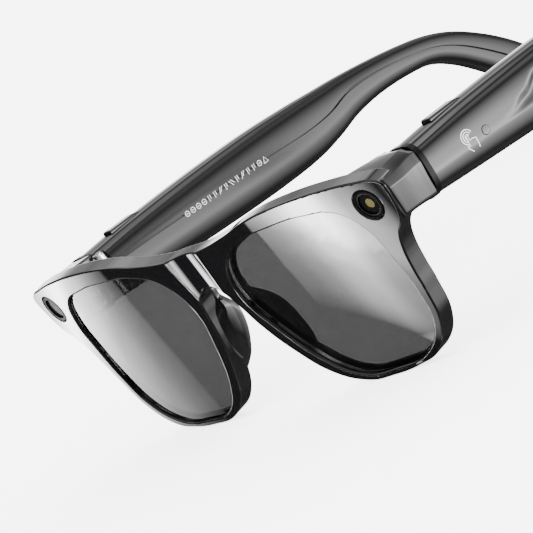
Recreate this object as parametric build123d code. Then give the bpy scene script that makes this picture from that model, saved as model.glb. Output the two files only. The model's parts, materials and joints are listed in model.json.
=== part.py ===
from build123d import *
import math
import os

# Camera glasses with a full-rim front, two folding electronics temples and two press buttons.
# Millimetres. +X is the wearer's left, +Y runs back towards the ears, +Z is up.
# Parts are designed about the middle of the bridge and moved to the floor frame at the end.

# ---------------------------------------------------------------- driving dimensions
FRONT_TILT = 8.8            # the front leans forward at the top, degrees about X
BOW = 4.85e-4               # front surface: y = BOW x^2 + WRAP |x|^3
WRAP = 6.97e-6
RIM_DEPTH = 4.4             # front plate, front to back
LENS_RECESS = 0.9           # rim face to lens face
LENS_THICKNESS = 1.9
LENS_LIP = 1.1              # lip behind the lens, in from its edge
LENS_GAP = 0.04
BROW_CHANNEL_WIDTH = 1.5
BROW_CHANNEL_DEPTH = 1.3
BROW_COVER_THICKNESS = 0.6
FLEX_THICKNESS = 0.3
TROUGH_RADIUS = 18.0        # hollow across the front of the bridge
TROUGH_DEPTH = 1.25
TROUGH_LEAN = 2.6           # the hollow is shallower at the bottom, degrees

EYE_X, EYE_Z = 68.1, 8.1    # camera on the right end-piece, flash on the left one
EYE_BORE = 3.6
EYE_TURN = 9.3              # the surface's turn there, degrees about Z

JOINT_Y = 16.0              # back face of the end-pieces
JOINT_GAP = 0.25
POCKET_X = (66.0, 73.0)     # electronics pocket in an end-piece
POCKET_Z = (3.9, 12.6)
POCKET_FRONT_Y = 9.6
TUNNEL_X, TUNNEL_Y, TUNNEL_Z = (60.4, 67.5), (5.2, 10.5), (11.5, 12.4)   # flex cable's way to the pocket
COVER_THICKNESS = 0.9

HINGE_X, HINGE_Y, HINGE_Z = 61.7, 17.9, 8.3
KNUCKLES = 5
KNUCKLE_HEIGHT = 2.1
KNUCKLE_GAP = 0.08
KNUCKLE_RADIUS = 1.5
PIN_RADIUS = 0.6
PIN_CLEARANCE = 0.03
LEAF_THICKNESS = 1.3
SCREW_RADIUS = 0.55

SHELL_WALL = 1.7
SECTION_POWER = 3.2         # superellipse power of the temple's cross-section
CAVITY_Y = (26.4, 108.0)
SPLIT_X = 68.2              # the inner cover meets the outer shell here along the bottom
GASKET_LENGTH = 1.4
GASKET_PROUD = 0.25
BUTTON_X, BUTTON_Y = 68.5, 30.8
BUTTON_LENGTH, BUTTON_WIDTH = 8.6, 3.6
BUTTON_TOP = 16.0           # about 0.8 proud of the temple's top edge
FLANGE_Z = (12.2, 12.8)
BUTTON_TRAVEL = 0.4
BUTTON_GAP = 0.12
DISC_Y, DISC_Z, DISC_RADIUS = 34.4, 7.3, 1.0
MIC_Y, MIC_Z, MIC_RADIUS = 28.6, 8.0, 0.4
CONTACT_Y, CONTACT_Z, CONTACT_RADIUS = (30.5, 34.5), 4.6, 1.0
MESH_X, MESH_Y, MESH_Z = (65.2, 67.4), (83.0, 91.0), (-3.0, 1.6)
FLUTE_DEPTH = 0.8
CORE_RADIUS = 0.9

# Lens edge on the front surface (x, z), then the outer edge of the front from the bridge round to the arch.
LENS_POINTS = [
    (63.4, -5.1), (62.5, 3.2), (58.2, 9.0), (49.0, 11.4), (36.0, 12.0), (22.5, 10.9), (13.4, 6.7), (10.1, -0.8),
    (13.6, -11.7), (20.0, -21.9), (28.0, -28.0), (40.0, -29.4), (52.5, -28.1), (60.3, -22.1), (63.0, -13.2),
]
BROW_POINTS = [(0, 12.5), (8, 12.5), (20, 13.8), (31, 15.6), (44, 16.2), (58, 15.5), (71.2, 13.4)]
CORNER_POINTS = [(71.2, 13.4), (74.9, 12.3), (75.9, 10.4)]
SIDE_POINTS = [(75.9, 10.4), (75.3, 7.0), (74.5, 3.9)]
RIM_POINTS = [
    (74.5, 3.9), (73.3, 2.4), (70.2, -0.5), (68.2, -3.8), (66.3, -9.8), (65.3, -14.5), (62.2, -23.2), (55.6, -28.9),
    (47.0, -30.6), (38.0, -30.9), (28.5, -30.1), (19.4, -25.6), (13.0, -17.9), (8.8, -10.0), (6.6, -3.0), (4.6, 1.2),
    (0, 2.8),
]
# Nose pad stations, upright: z, centre x and y, half width and half depth.
PAD_STATIONS = [
    (-20.0, 17.2, 4.6, 0.9, 0.8),
    (-18.0, 15.9, 4.8, 2.0, 2.0),
    (-13.0, 13.2, 5.2, 2.9, 3.4),
    (-7.5, 10.9, 5.3, 3.0, 3.9),
    (-3.0, 9.2, 5.0, 2.4, 2.6),
    (0.8, 8.2, 4.6, 1.0, 0.8),
]
# Temple stations: centre y and z, direction below horizontal in degrees, height, inner x, outer x.
TEMPLE_STATIONS = [
    (17.65, 8.3, 0, 12.6, 62.6, 74.4),
    (32.0, 8.2, 0, 14.4, 62.6, 74.6),
    (52.0, 7.8, 0, 16.0, 62.6, 74.6),
    (72.0, 7.35, 0, 16.5, 62.7, 74.0),
    (86.0, 7.1, 0, 15.5, 62.8, 72.6),
    (95.0, 7.4, 0, 13.4, 62.9, 71.2),
    (103.0, 8.0, 1, 10.8, 63.0, 70.0),
    (112.0, 7.8, 6, 8.9, 63.1, 69.1),
    (122.0, 6.7, 12, 7.8, 63.2, 68.8),
    (130.5, 4.9, 22, 7.4, 63.1, 68.7),
    (138.0, 1.1, 34, 8.3, 63.0, 68.6),
    (146.0, -5.4, 43, 9.6, 62.9, 68.5),
    (152.5, -12.2, 50, 10.0, 62.8, 68.4),
    (158.4, -20.6, 57, 9.4, 62.8, 68.2),
    (161.3, -25.8, 60, 8.0, 63.1, 67.9),
    (163.0, -29.0, 61, 5.0, 63.9, 67.1),
]
# Upper edge of the inner cover (y, z): along the temple, up over the kink, and down the ear piece.
SEAM_POINTS = [(19.0, 9.8), (44.0, 9.0), (72.0, 8.1), (90.0, 7.1), (97.0, 7.5), (103.0, 9.3), (112.0, 8.6),
               (124.0, 6.6), (133.0, 3.6), (144.0, -3.6), (152.0, -11.8), (158.0, -20.0)]
# Flute in the temple's outer face (y, z): a wedge that opens towards the ear.
FLUTE_POINTS = [(39.5, 6.6), (48.0, 9.8), (56.0, 12.2), (72.0, 12.6), (88.0, 10.4), (96.0, 8.4), (84.0, 5.6),
                (66.0, 4.6), (50.0, 5.0)]


# ---------------------------------------------------------------- helpers
def flat_spline(points, place, **options):
    """A spline edge through 2-D points, each put in space by place(a, b)."""
    return Edge.make_spline([Vector(*place(a, b)) for a, b in points], **options)


def on_front(x, z):
    return (x, 0, z)


def on_side(y, z):
    return (0, y, z)


def block(x, y, z):
    """A box from (low, high) pairs."""
    size = [high - low for low, high in (x, y, z)]
    middle = [(high + low) / 2 for low, high in (x, y, z)]
    return Pos(*middle) * Box(*size)


def mirrored(part):
    """The same part on the wearer's right."""
    return part.mirror(Plane.YZ)


def front_y(x):
    return BOW * x**2 + WRAP * abs(x) ** 3


def slab(near, far):
    """The space between two copies of the bowed front surface, moved back by near and by far."""
    across = [21.0 * i for i in range(-4, 5)]
    sides = [[Vector(x, front_y(x) + depth, 0) for x in across] for depth in (near, far)]
    front, back = (Edge.make_spline(points) for points in sides)
    ends = [Edge.make_line(sides[0][i], sides[1][i]) for i in (0, -1)]
    face = Face(Wire([front, ends[1], back, ends[0]]))
    return extrude(Pos(0, 0, -45) * face, amount=90, dir=(0, 0, 1))


def through(face):
    """A prism of a face in the XZ plane, long enough to cross the whole front."""
    return extrude(Pos(0, -10, 0) * face, amount=60, dir=(0, 1, 0))


def leaned(part):
    """From the front's own upright frame to its leaning place."""
    return Rot(FRONT_TILT, 0, 0) * part


# ---------------------------------------------------------------- front
def lens_face(inset=0.0):
    """The lens outline, moved in from the edge by inset."""
    edge = flat_spline(LENS_POINTS, on_front, periodic=True)
    steps = 32
    points = []
    for i in range(steps):
        inward = (edge % (i / steps)).cross(Vector(0, 1, 0))
        points.append(edge @ (i / steps) + inward * inset)
    return Face(Wire([Edge.make_spline(points, periodic=True)]))


def outer_face():
    half = [
        flat_spline(BROW_POINTS, on_front, tangents=[(1, 0, 0), (4, 0, -1)]),
        flat_spline(CORNER_POINTS, on_front),
        flat_spline(SIDE_POINTS, on_front),
        flat_spline(RIM_POINTS, on_front, tangents=[(-1, 0, -3), (-1, 0, 0)]),
    ]
    return Face(Wire(half + [mirrored(edge) for edge in half]))


def brow_strip(width, near, far):
    """A strip along the middle of the brow, between two depths under the back of the front plate."""
    middle = [(0, 9.6), (10, 10.4), (20, 12.2), (31, 13.7), (44, 14.1), (54, 13.4), (61, 12.0)]
    upper = [(x, z + width / 2) for x, z in middle]
    lower = [(x, z - width / 2) for x, z in middle]
    edges = [flat_spline(points, on_front, tangents=[(1, 0, 0), (3, 0, -1)]) for points in (upper, lower)]
    edges += [mirrored(edge) for edge in edges]
    edges += [Edge.make_line((x, 0, upper[-1][1]), (x, 0, lower[-1][1])) for x in (-middle[-1][0], middle[-1][0])]
    return through(Face(Wire(edges))) & slab(RIM_DEPTH - far, RIM_DEPTH - near)


def end_piece():
    """The block that carries a temple: a five-sided loft from the front back to the joint."""
    front_side = [(54.0, 15.6), (71.2, 13.6), (75.2, 12.6), (76.1, 10.4), (74.7, 3.3), (60.0, 2.4)]
    joint_side = [(62.4, 14.6), (71.2, 14.7), (73.6, 13.6), (74.5, 10.0), (74.0, 2.4), (62.4, 2.2)]
    faces = []
    for y, points in ((0.5, front_side), (JOINT_Y, joint_side)):
        faces.append(Face(Wire.make_polygon([Vector(x, y, z) for x, z in points], close=True)))
    body = loft(faces, ruled=True)
    long_edges = [edge for edge in body.edges() if edge.length > JOINT_Y - 1 and edge.center().X > 64]
    return fillet(long_edges, 1.1)


def eye(radius, near, far):
    """A round space along the camera or flash axis on the left end-piece, between two depths."""
    axis = Pos(EYE_X, front_y(EYE_X), EYE_Z) * Rot(0, 0, EYE_TURN) * Rot(-90, 0, 0)
    return axis * Pos(0, 0, (near + far) / 2) * Cylinder(radius, far - near)


def end_piece_room():
    """Everything cut out of an end-piece: eye bore, electronics pocket, cable tunnel and hinge seat."""
    room = block(POCKET_X, (POCKET_FRONT_Y, JOINT_Y), POCKET_Z) + block(TUNNEL_X, TUNNEL_Y, TUNNEL_Z)
    room += leaned(eye(EYE_BORE, -3, 3.2)) + leaned(eye(2.6, 3.0, 8.0))
    room += hinge_place() * block((0.9, 2.3), (-8.4, 0), (-4.3, 4.3))
    room += hinge_place() * block((-3, 2.3), (-KNUCKLE_RADIUS - 0.25, 0), (-5.8, 6.4))
    for place in front_screw_places():
        room += place * screw(2.4, 0.05) + place * Pos(-2.4, 0, 0) * Rot(0, 90, 0) * Cylinder(1.1, 4.0)
    return room


def front_frame():
    plate = through(outer_face()) & slab(0, RIM_DEPTH)
    trough = Pos(0, TROUGH_DEPTH - TROUGH_RADIUS, 12.5) * Rot(TROUGH_LEAN, 0, 0) * Cylinder(TROUGH_RADIUS, 60)
    plate = leaned(plate - trough)
    corner = end_piece() & leaned(slab(0, 60))
    opening = through(lens_face()) & slab(-5, LENS_RECESS + LENS_THICKNESS)
    opening += through(lens_face(LENS_LIP)) & slab(LENS_RECESS, 50)
    plate = plate + corner + mirrored(corner)
    cuts = leaned(opening) + end_piece_room()
    plate -= leaned(brow_strip(BROW_CHANNEL_WIDTH, -1, BROW_CHANNEL_DEPTH))
    return plate - cuts - mirrored(cuts)


def lens():
    edge = through(lens_face(LENS_GAP)) & slab(LENS_RECESS, LENS_RECESS + LENS_THICKNESS - LENS_GAP)
    return leaned(edge)


def nose_pad():
    """A bulb on the nasal side of the rim, flat where it is bonded to the back of the rim."""
    sections = [Pos(x, y, z) * Ellipse(half_x, half_y) for z, x, y, half_x, half_y in PAD_STATIONS]
    bulb = loft([section.faces()[0] for section in sections]) & slab(RIM_DEPTH, 30)
    return leaned(bulb - through(lens_face(LENS_LIP - 0.3)))


def hinge_place():
    return Pos(HINGE_X, HINGE_Y, HINGE_Z) * Rot(FRONT_TILT, 0, 0)


def knuckle_span(i):
    pitch = KNUCKLE_HEIGHT + KNUCKLE_GAP
    low = (i - KNUCKLES / 2) * pitch + KNUCKLE_GAP / 2
    return low, low + KNUCKLE_HEIGHT


def hinge_bore():
    return Cylinder(PIN_RADIUS + PIN_CLEARANCE, 2 * KNUCKLES * KNUCKLE_HEIGHT)


def front_screw_places():
    return [hinge_place() * Pos(0.9, -5.4, z) for z in (-2.4, 2.4)]


def temple_screw_places():
    return [hinge_place() * Pos(2.6, y, 0) for y in (4.6, 7.0)]


def front_hinge_leaf():
    """Three knuckles on a plate let into the back of the end-piece."""
    leaf = block((0.9, 2.3), (-8.4, -1.6), (-4.3, 4.3))
    for i in range(0, KNUCKLES, 2):
        low, high = knuckle_span(i)
        leaf += Pos(0, 0, (low + high) / 2) * Cylinder(KNUCKLE_RADIUS, KNUCKLE_HEIGHT)
        leaf += block((0.1, KNUCKLE_RADIUS), (-1.7, 0), (low, high))
    leaf = hinge_place() * (leaf - hinge_bore())
    for place in front_screw_places():
        leaf -= place * Rot(0, 90, 0) * Cylinder(SCREW_RADIUS + 0.03, 6)
    return leaf


def temple_hinge_leaf():
    """Two knuckles on a plate that is screwed inside the temple."""
    leaf = block((2.6, 2.6 + LEAF_THICKNESS), (-0.6, 8.4), (-3.2, 3.2))
    for i in range(1, KNUCKLES, 2):
        low, high = knuckle_span(i)
        leaf += Pos(0, 0, (low + high) / 2) * Cylinder(KNUCKLE_RADIUS, KNUCKLE_HEIGHT)
        leaf += block((0, 3.0), (-0.6, KNUCKLE_RADIUS), (low, high))
    leaf = hinge_place() * (leaf - hinge_bore())
    for place in temple_screw_places():
        leaf -= place * Rot(0, 90, 0) * Cylinder(SCREW_RADIUS + 0.03, 6)
    return leaf


def hinge_pin():
    span = KNUCKLES * (KNUCKLE_HEIGHT + KNUCKLE_GAP)
    pin = Cylinder(PIN_RADIUS, span) + Pos(0, 0, span / 2 + 0.25) * Cylinder(1.15, 0.5)
    pin -= Pos(0, 0, span / 2 + 0.45) * Box(2.4, 0.35, 0.3)
    return hinge_place() * pin


def screw(length, grow=0.0):
    """A flat-head screw along X: its head stands on x = 0 towards the nose, its shank runs outwards."""
    body = Pos(0, 0, length / 2) * Cylinder(SCREW_RADIUS + grow, length + 2 * grow)
    body += Pos(0, 0, -0.25 - grow / 2) * Cylinder(1.0 + grow, 0.5 + grow)
    if not grow:
        body -= Pos(0, 0, -0.5) * Box(1.5, 0.3, 0.4)
    return Rot(0, 90, 0) * body


def front_hinge_screws():
    screws = [place * screw(2.4) for place in front_screw_places()]
    return screws + [mirrored(s) for s in screws]


def temple_hinge_screws():
    return [place * screw(3.2) for place in temple_screw_places()]


# ---------------------------------------------------------------- camera and flash
def on_eye(part):
    """A part drawn about +Z, put on the left eye's axis with its +Z pointing back into the frame."""
    return leaned(Pos(EYE_X, front_y(EYE_X), EYE_Z) * Rot(0, 0, EYE_TURN) * Rot(-90, 0, 0) * part)


def ring(outer, inner, near, far):
    middle = Pos(0, 0, (near + far) / 2)
    return middle * (Cylinder(outer, far - near) - Cylinder(inner, far - near + 1))


def disc(radius, near, far):
    return Pos(0, 0, (near + far) / 2) * Cylinder(radius, far - near)


def camera_bezel():
    body = ring(EYE_BORE - 0.04, 2.85, 0.1, 2.6)
    for turn in (90, 270):
        body += Rot(0, 0, turn) * Pos(EYE_BORE - 0.5, 0, 0.35) * Cylinder(0.42, 0.5)
    return on_eye(body)


def camera_window():
    return on_eye(disc(2.8, 0.55, 1.35))


def camera_module():
    """Lens barrel in the eye bore, on the sensor block in the pocket."""
    return on_eye(disc(2.3, 1.6, 7.4)) + block((66.4, 72.4), (9.9, 14.2), (5.0, 11.6))


def flash_bezel():
    return on_eye(ring(EYE_BORE - 0.04, 3.05, 0.05, 2.8))


def flash_ring():
    return on_eye(ring(3.0, 2.65, 0.25, 1.5))


def flash_reflector():
    return on_eye(ring(2.6, 1.2, 0.7, 2.4))


def flash_emitter():
    return on_eye(disc(1.15, 0.8, 2.4))


def flash_board():
    """Driver board in the pocket, with the post that carries the emitter."""
    return on_eye(disc(1.0, 2.4, 7.4)) + block((66.3, 72.7), (9.9, 10.9), (4.6, 12.0))


def end_piece_cover():
    x = (POCKET_X[0] + 0.1, POCKET_X[1] - 0.1)
    z = (POCKET_Z[0] + 0.1, POCKET_Z[1] - 0.1)
    return block(x, (JOINT_Y - COVER_THICKNESS, JOINT_Y), z)


# ---------------------------------------------------------------- temples
def temple_section(station, inset=0.0):
    """A superellipse across the temple at one station."""
    y, z, fall, height, inner, outer = station
    half_x, half_z = (outer - inner) / 2 - inset, height / 2 - inset
    plane = Plane(origin=((inner + outer) / 2, y, z), x_dir=(1, 0, 0),
                  z_dir=(0, -math.cos(math.radians(fall)), math.sin(math.radians(fall))))
    points = []
    for i in range(20):
        turn = math.tau * i / 20
        across, up = math.cos(turn), math.sin(turn)
        reach = (abs(across) ** SECTION_POWER + abs(up) ** SECTION_POWER) ** (-1 / SECTION_POWER)
        points.append(plane.from_local_coords(Vector(half_x * across * reach, half_z * up * reach, 0)))
    return Face(Wire([Edge.make_spline(points, periodic=True)]))


def temple_solid():
    return loft([temple_section(station) for station in TEMPLE_STATIONS])


def station_at(y):
    """The straight part's station at y, between the listed ones."""
    for near, far in zip(TEMPLE_STATIONS, TEMPLE_STATIONS[1:]):
        if near[0] <= y <= far[0]:
            share = (y - near[0]) / (far[0] - near[0])
            return tuple(a + share * (b - a) for a, b in zip(near, far))


def temple_cavity():
    inside = [s for s in TEMPLE_STATIONS if CAVITY_Y[0] < s[0] < CAVITY_Y[1]]
    stations = [station_at(CAVITY_Y[0])] + inside + [station_at(CAVITY_Y[1])]
    return loft([temple_section(station, SHELL_WALL) for station in stations])


def side_region(edges, x):
    face = Face(Wire(edges))
    return extrude(Pos(x[0], 0, 0) * face, amount=x[1] - x[0], dir=(1, 0, 0))


def cover_region():
    """Below the seam and towards the head: the space that the inner cover takes."""
    seam = flat_spline(SEAM_POINTS, on_side)
    (y0, z0), (y1, z1) = SEAM_POINTS[0], SEAM_POINTS[-1]
    corners = [(0, y1, z1), (0, y1 - 14, z1 - 10), (0, y0, -20), (0, y0, z0)]
    lines = [Edge.make_line(a, b) for a, b in zip(corners, corners[1:])]
    return side_region([seam] + lines, (55, SPLIT_X))


def hinge_notch():
    """Room in the temple for the knuckles and both leaves."""
    notch = block((-3, 2.5), (-4, 3.2), (-6.2, 6.2)) + block((1.9, 4.0), (-1.0, 8.6), (-3.4, 3.4))
    notch = hinge_place() * notch
    for place in temple_screw_places():
        notch += place * screw(3.2, 0.03)
    return notch


def flute():
    """A shallow wedge in the outer face, with a sloped border."""
    edge = Edge.make_spline([Vector(0, y, z) for y, z in FLUTE_POINTS], periodic=True)
    face = Face(Wire([edge]))
    return extrude(Pos(74.7 - FLUTE_DEPTH, 0, 0) * face, amount=6, dir=(1, 0, 0))


def temple_pieces(solid):
    """Outer shell and inner cover, cut from one hollow body along the seam."""
    body = solid - temple_cavity() - hinge_notch() - core_channel() - flute()
    region = cover_region()
    return body - region, body & region


def core_path():
    """Centre line of the steel core in the ear piece."""
    stations = [s for s in TEMPLE_STATIONS if 100 < s[0] < 158]
    return Edge.make_spline([Vector((s[4] + s[5]) / 2, s[0], s[1]) for s in stations])


def core_rod(radius):
    path = core_path()
    return sweep(Plane(path @ 0, z_dir=path % 0) * Circle(radius), path=path)


def core_channel():
    return core_rod(CORE_RADIUS + 0.05)


def gasket():
    """Soft band round the end of the temple, in the joint."""
    y, z, _, height, inner, outer = TEMPLE_STATIONS[0]
    back, front = JOINT_Y + JOINT_GAP + GASKET_LENGTH, JOINT_Y + JOINT_GAP
    proud = (y, z, 0, height + 2 * GASKET_PROUD, inner, outer + GASKET_PROUD)
    band = loft([temple_section((end,) + proud[1:]) for end in (front, back)])
    return band - hinge_notch()


def button():
    """Long key with a flange under the shell wall."""
    y = (BUTTON_Y - BUTTON_LENGTH / 2, BUTTON_Y + BUTTON_LENGTH / 2)
    x = (BUTTON_X - BUTTON_WIDTH / 2, BUTTON_X + BUTTON_WIDTH / 2)
    cap = block(x, y, (FLANGE_Z[0], BUTTON_TOP))
    cap = fillet([e for e in cap.edges() if e.center().Z > BUTTON_TOP - 0.01], 0.5)
    return cap + block((x[0] - 0.6, x[1] + 0.6), (y[0] - 0.5, y[1] + 0.5), FLANGE_Z)


def button_room():
    """Hole for the key in the top wall, and space for its flange and travel below."""
    y = (BUTTON_Y - BUTTON_LENGTH / 2 - BUTTON_GAP, BUTTON_Y + BUTTON_LENGTH / 2 + BUTTON_GAP)
    x = (BUTTON_X - BUTTON_WIDTH / 2 - BUTTON_GAP, BUTTON_X + BUTTON_WIDTH / 2 + BUTTON_GAP)
    flange = block((x[0] - 0.8, x[1] + 0.8), (y[0] - 0.8, y[1] + 0.8), (FLANGE_Z[0] - 1, FLANGE_Z[1] + 0.1))
    return block(x, y, (FLANGE_Z[0], BUTTON_TOP + 2)) + flange


def button_switch():
    top = FLANGE_Z[0] - BUTTON_TRAVEL - 0.05
    return block((BUTTON_X - 1.5, BUTTON_X + 1.5), (BUTTON_Y - 0.8, BUTTON_Y + 2.4), (top - 1.5, top))


def side_plug(y, z, radius, x):
    """A round piece along X, trimmed flush with the temple's surface."""
    return Pos((x[0] + x[1]) / 2, y, z) * Rot(0, 90, 0) * Cylinder(radius, x[1] - x[0])


def temple_parts():
    """Everything that both temples hold, drawn on the wearer's left."""
    solid = temple_solid()
    shell, cover = temple_pieces(solid)
    mesh = solid & block(MESH_X, MESH_Y, MESH_Z) - temple_cavity()
    return {
        "temple_shell": shell - button_room(),
        "temple_cover": cover - block(MESH_X, MESH_Y, MESH_Z),
        "temple_gasket": gasket(),
        "temple_hinge_leaf": temple_hinge_leaf(),
        "temple_hinge_screws": temple_hinge_screws(),
        "temple_core": core_rod(CORE_RADIUS),
        "speaker": block((65.2, 69.2), (81.0, 93.0), (3.4, 8.4)),
        "speaker_mesh": mesh,
        "button_switch": button_switch(),
    }


def left_electronics():
    return {
        "main_board": block((69.8, 70.8), (27.0, 57.0), (3.2, 10.0)),
        "left_battery": block((65.3, 70.3), (60.0, 79.0), (3.0, 12.4)),
        "touch_sensor": block((71.6, 71.9), (27.0, 41.0), (4.6, 11.0)),
        "charging_magnet": block((64.7, 66.2), (29.0, 36.0), (6.6, 9.6)),
    }


def right_electronics():
    return {
        "sub_board": mirrored(block((69.8, 70.8), (27.0, 42.0), (3.2, 10.0))),
        "right_battery": mirrored(block((65.3, 70.3), (46.0, 79.0), (3.0, 12.4))),
    }


def front_parts():
    """The pieces that ride on the front; left and right ones are mirror images."""
    made = {
        "front_frame": front_frame(),
        "brow_cover": leaned(brow_strip(BROW_CHANNEL_WIDTH - 0.1, 0, BROW_COVER_THICKNESS)),
        "front_flex_cable": leaned(brow_strip(BROW_CHANNEL_WIDTH - 0.4, 0.8, 0.8 + FLEX_THICKNESS)),
        "front_hinge_screws": front_hinge_screws(),
        "flash_bezel": flash_bezel(),
        "flash_ring": flash_ring(),
        "flash_reflector": flash_reflector(),
        "flash_emitter": flash_emitter(),
        "flash_board": flash_board(),
        "camera_bezel": mirrored(camera_bezel()),
        "camera_window": mirrored(camera_window()),
        "camera_module": mirrored(camera_module()),
    }
    pairs = {"lens": lens(), "nose_pad": nose_pad(), "end_piece_cover": end_piece_cover(),
             "front_hinge_leaf": front_hinge_leaf(), "hinge_pin": hinge_pin()}
    return made | both_sides(pairs)


def mirrored_all(part):
    return [mirrored(piece) for piece in part] if isinstance(part, list) else mirrored(part)


def both_sides(pairs):
    left = {f"left_{name}": part for name, part in pairs.items()}
    right = {f"right_{name}": mirrored_all(part) for name, part in pairs.items()}
    return left | right


def main():
    parts = front_parts() | both_sides(temple_parts()) | left_electronics() | right_electronics()
    parts["shutter_button"] = button()
    parts["power_button"] = mirrored(button())
    add_flush_pieces(parts)
    solids = {name: one_shape(part) for name, part in parts.items()}
    box = Compound(list(solids.values())).bounding_box()
    place = Pos(0, -(box.min.Y + box.max.Y) / 2, -box.min.Z)
    print("moved by", place.position, "size", box.size)
    os.makedirs("parts", exist_ok=True)
    for name, solid in solids.items():
        export_step(place * solid, f"parts/{name}.step")


def one_shape(part):
    """A group of separate solids as one compound; a single solid as itself."""
    solids = [s for piece in part for s in piece.solids()] if isinstance(part, list) else part.solids()
    return solids[0] if len(solids) == 1 else Compound(list(solids))


def add_flush_pieces(parts):
    """Small round pieces let through a temple's wall and trimmed flush with it."""
    solid = temple_solid()
    outer, inner = (72.3, 80.0), (60.0, 64.4)
    window = side_plug(DISC_Y, DISC_Z, DISC_RADIUS, outer)
    parts["status_window"] = window & solid
    parts["left_temple_shell"] -= side_plug(DISC_Y, DISC_Z, DISC_RADIUS + 0.1, outer)
    contacts = [side_plug(y, CONTACT_Z, CONTACT_RADIUS, inner) for y in CONTACT_Y]
    parts["charging_contacts"] = [contact & solid for contact in contacts]
    for contact in contacts:
        parts["left_temple_cover"] -= contact
    mic = mirrored(side_plug(MIC_Y, MIC_Z, MIC_RADIUS, inner))
    parts["right_temple_cover"] -= mic
    capsule = block((64.5, 65.5), (MIC_Y - 1.2, MIC_Y + 1.8), (MIC_Z - 1.2, MIC_Z + 1.2))
    parts["right_microphone"] = mirrored(capsule)


main()
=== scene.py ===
import bpy
import bmesh
import json
import math
from mathutils import Matrix, Vector


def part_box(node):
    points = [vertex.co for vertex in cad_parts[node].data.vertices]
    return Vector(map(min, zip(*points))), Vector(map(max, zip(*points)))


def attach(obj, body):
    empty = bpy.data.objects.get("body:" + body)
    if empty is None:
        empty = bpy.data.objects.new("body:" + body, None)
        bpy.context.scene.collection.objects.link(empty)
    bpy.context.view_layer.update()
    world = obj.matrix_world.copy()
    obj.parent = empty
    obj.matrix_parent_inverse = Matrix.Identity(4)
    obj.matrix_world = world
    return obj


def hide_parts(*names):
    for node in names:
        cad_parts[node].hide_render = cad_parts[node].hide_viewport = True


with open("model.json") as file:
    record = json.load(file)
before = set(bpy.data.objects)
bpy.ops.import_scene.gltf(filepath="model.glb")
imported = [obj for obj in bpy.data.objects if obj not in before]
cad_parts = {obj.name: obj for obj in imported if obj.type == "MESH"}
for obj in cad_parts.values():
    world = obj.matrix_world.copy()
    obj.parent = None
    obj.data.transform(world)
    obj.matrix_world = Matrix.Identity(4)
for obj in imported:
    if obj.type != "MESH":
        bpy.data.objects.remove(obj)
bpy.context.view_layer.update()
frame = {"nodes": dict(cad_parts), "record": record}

MM = 0.001
record = frame["record"]
nodes = frame["nodes"]
slot_of = {part["node"]: part["material_slot"] for part in record["subparts"]}


# ---------------------------------------------------------------- sizes, in metres
SHIFT = Vector((0.0, -81.674, 30.383)) * MM      # the middle of the bridge in the row's frame
FRONT_TILT = math.radians(8.8)

CAMERA_TARGET = SHIFT + Vector((4.93, 13.30, -0.27)) * MM
CAMERA_DISTANCE = 1.078
CAMERA_AZIMUTH, CAMERA_ELEVATION, CAMERA_ROLL = (math.radians(a) for a in (58.0, 9.02, -31.97))
CAMERA_LENS = 328.0


def at(x, y, z):
    """A point given in millimetres from the middle of the bridge."""
    return SHIFT + Vector((x, y, z)) * MM


# ---------------------------------------------------------------- materials
class Nodes:
    """A short way to build a node tree."""

    def __init__(self, tree):
        self.tree = tree

    def add(self, kind, **values):
        node = self.tree.nodes.new(kind)
        for name, value in values.items():
            if hasattr(node, name):
                setattr(node, name, value)
            else:
                node.inputs[name.replace("_", " ")].default_value = value
        return node

    def link(self, source, target):
        self.tree.links.new(source, target)


def math_node(tree, operation, a, b=None):
    node = tree.add("ShaderNodeMath", operation=operation)
    for socket, value in zip(node.inputs, (a, b)):
        if value is None:
            continue
        if isinstance(value, (int, float)):
            socket.default_value = value
        else:
            tree.link(value, socket)
    return node.outputs[0]


def new_material(name, color, roughness, **sockets):
    """A Principled material of one colour and roughness, with its tree and its shader."""
    material = bpy.data.materials.new(name)
    material.use_nodes = True
    tree = Nodes(material.node_tree)
    shader = material.node_tree.nodes["Principled BSDF"]
    shader.inputs["Base Color"].default_value = (*color, 1)
    shader.inputs["Roughness"].default_value = roughness
    for socket, value in sockets.items():
        shader.inputs[socket.replace("_", " ")].default_value = value
    return material, tree, shader


def vary(tree, shader, scale, low, high):
    """Roughness that wanders between low and high."""
    place = tree.add("ShaderNodeTexCoord")
    noise = tree.add("ShaderNodeTexNoise", Scale=scale, Detail=4.0)
    spread = tree.add("ShaderNodeMapRange", From_Min=0.3, From_Max=0.7, To_Min=low, To_Max=high)
    tree.link(place.outputs["Object"], noise.inputs["Vector"])
    tree.link(noise.outputs["Fac"], spread.inputs["Value"])
    tree.link(spread.outputs["Result"], shader.inputs["Roughness"])
    return place, noise


def grain(tree, shader, place, scale, depth):
    """A fine bump, such as moulded plastic shows under a lens."""
    noise = tree.add("ShaderNodeTexNoise", Scale=scale, Detail=2.0)
    bump = tree.add("ShaderNodeBump", Strength=0.25, Distance=depth)
    tree.link(place.outputs["Object"], noise.inputs["Vector"])
    tree.link(noise.outputs["Fac"], bump.inputs["Height"])
    tree.link(bump.outputs["Normal"], shader.inputs["Normal"])


def tint(tree, shader, source, dark, light):
    """Base colour between two near shades, driven by a noise."""
    ramp = tree.add("ShaderNodeValToRGB")
    ramp.color_ramp.elements[0].color = (*dark, 1)
    ramp.color_ramp.elements[1].color = (*light, 1)
    tree.link(source, ramp.inputs["Fac"])
    tree.link(ramp.outputs["Color"], shader.inputs["Base Color"])


POLISHED_BLACK = (0.002, 0.002, 0.0022)


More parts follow.
